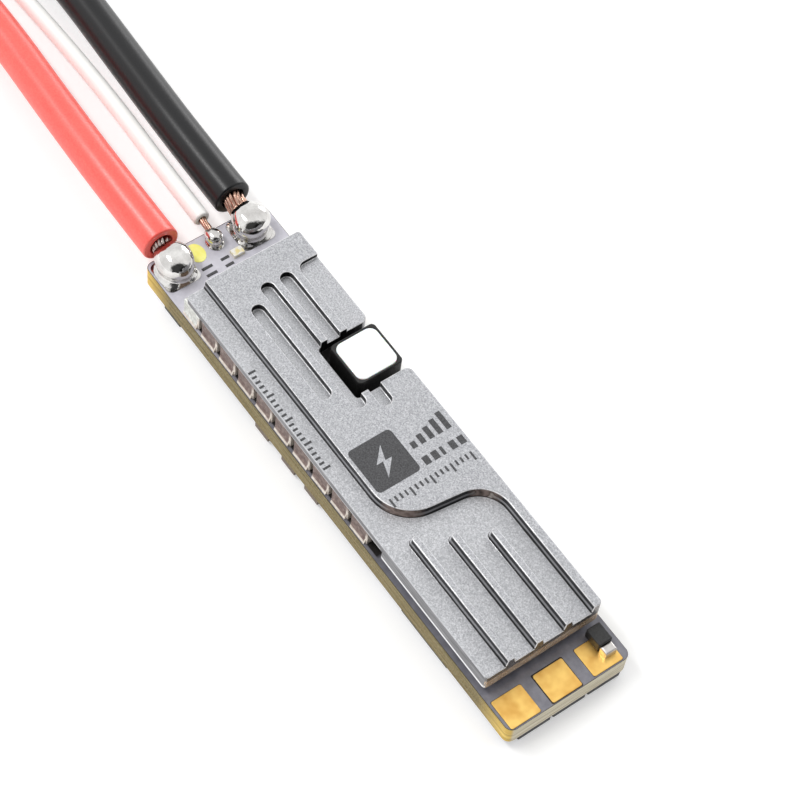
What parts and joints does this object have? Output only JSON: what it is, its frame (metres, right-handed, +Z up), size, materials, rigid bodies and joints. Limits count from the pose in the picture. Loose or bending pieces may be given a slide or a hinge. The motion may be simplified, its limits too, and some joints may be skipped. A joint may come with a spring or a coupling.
{
  "type": "electronic speed controller",
  "caption": "Slim brushless motor speed controller: bare board with milled aluminium heat sink, capacitor row, status light, motor pads and soldered battery and signal leads.",
  "frame": {"origin": "under the middle of the board, on the plane of the lower packages' undersides", "axes": "+X along the board to the motor pads, +Y across it to the status light, +Z up; the leads leave at -X"},
  "size_m": [0.1483, 0.0122, 0.0058],
  "materials": {
    "board": "glass-fibre laminate with grey-lilac solder mask and olive edges",
    "heat_sink": "bead-blasted milled aluminium",
    "thermal_pad": "soft grey silicone",
    "package": "black moulded epoxy",
    "led_housing": "black moulded plastic",
    "led_lens": "milky white",
    "capacitor_ceramic": "fired brown ceramic",
    "tin": "tin plate, satin",
    "solder": "bright solder",
    "gold_pad": "immersion gold",
    "tinned_wire": "tinned copper strands",
    "red_silicone": "soft silicone",
    "black_silicone": "soft silicone",
    "white_silicone": "soft silicone"
  },
  "bodies": {
    "root": {"battery_pads": "gold_pad", "capacitor_bodies": "capacitor_ceramic", "capacitor_ends": "tin", "capacitor_fillets": "solder", "circuit_board": "board", "corner_diode": "package", "corner_diode_terminal": "tin", "current_shunt": "package", "edge_capacitors": "capacitor_ceramic", "end_transistors": "package", "filter_capacitors": "capacitor_ceramic", "gate_driver": "package", "heat_sink": "heat_sink", "led_housing": "led_housing", "led_lens": "led_lens", "logic_chips": "package", "microcontroller": "package", "mid_transistors": "package", "motor_pad_a": "gold_pad", "motor_pad_b": "gold_pad", "motor_pad_c": "gold_pad", "negative_lead": "black_silicone", "negative_lead_tip": "tinned_wire", "negative_solder": "solder", "negative_strands": "tinned_wire", "positive_lead": "red_silicone", "positive_lead_tip": "tinned_wire", "positive_solder": "solder", "positive_strands": "tinned_wire", "power_inductor": "package", "signal_lead": "white_silicone", "signal_lead_tip": "tinned_wire", "signal_pad": "gold_pad", "signal_resistors": "capacitor_ceramic", "signal_solder": "solder", "signal_strands": "tinned_wire", "small_resistors": "package", "surge_suppressor": "package", "telemetry_pad": "gold_pad", "thermal_pad": "thermal_pad", "top_transistors": "package", "voltage_regulator": "package"}
  },
  "joints": []
}
